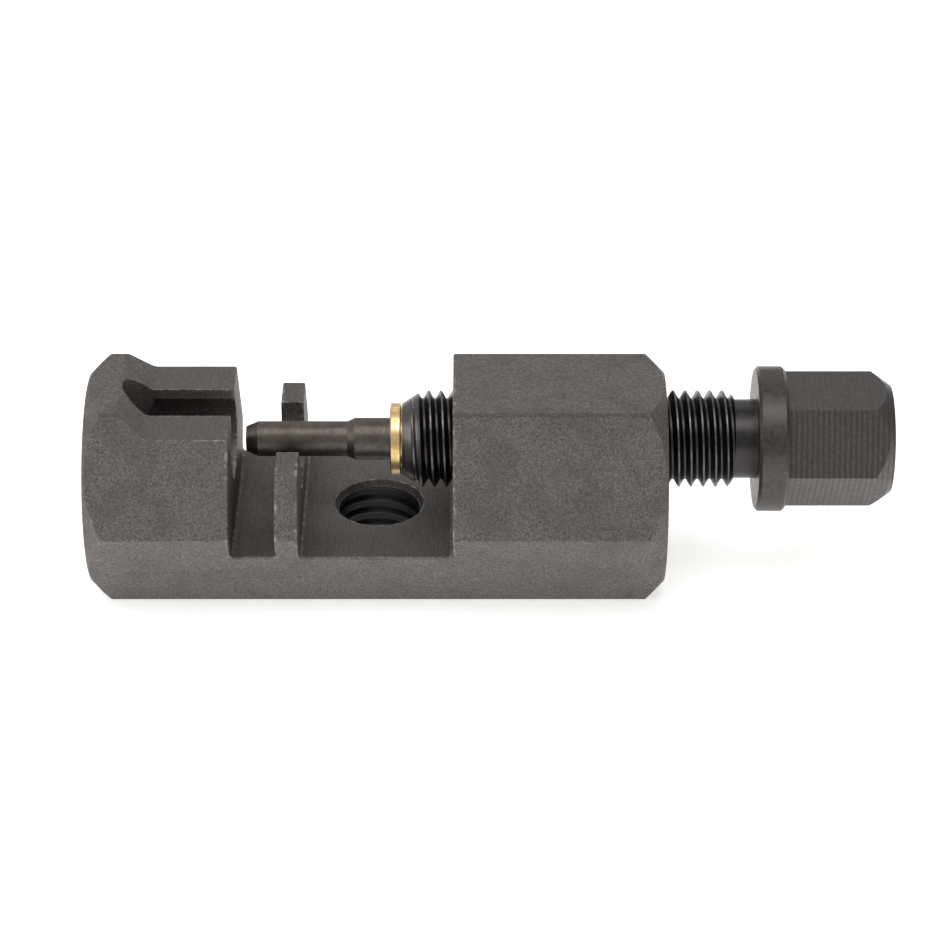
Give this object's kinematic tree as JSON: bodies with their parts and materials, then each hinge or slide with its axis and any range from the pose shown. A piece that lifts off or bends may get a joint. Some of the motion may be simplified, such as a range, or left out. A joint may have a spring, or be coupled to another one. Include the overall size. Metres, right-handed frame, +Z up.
{
  "type": "chain tool",
  "caption": "Bicycle chain tool milled from hexagonal bar: a flanged hex-head screw drives a captive pin across a chain slot into a grooved anvil block.",
  "frame": {"origin": "axis of the upright handle hole, in the bottom flat that the tool rests on", "axes": "+X along the bar from the anvil end to the screw's head, +Z up out of the flat that the openings are milled from"},
  "size_m": [0.0817, 0.0254, 0.023],
  "materials": {
    "phosphate_steel": "matte blasted and phosphated, dark warm grey",
    "black_oxide_steel": "black oxide, satin",
    "pin_steel": "hardened, brown-grey satin",
    "brass": "turned bright"
  },
  "bodies": {
    "frame": {"body": "phosphate_steel"},
    "pin": {"drive_pin": "pin_steel"},
    "screw": {"driver_screw": "black_oxide_steel", "pin_collar": "brass"}
  },
  "joints": [
    {"name": "pin_travel", "type": "slide", "parent": "frame", "child": "pin", "axis": [1, 0, 0], "range_m": [-0.00906, 0.0175]},
    {"name": "screw_turn", "type": "hinge", "parent": "pin", "child": "screw", "pos_m": [0.0386, 0, 0.01553], "axis": [1, 0, 0], "range_deg": [-2612, 5042]}
  ],
  "couplings": [
    {"joint": "screw_turn", "follows": "pin_travel", "rad_per_m": 5026.5}
  ]
}
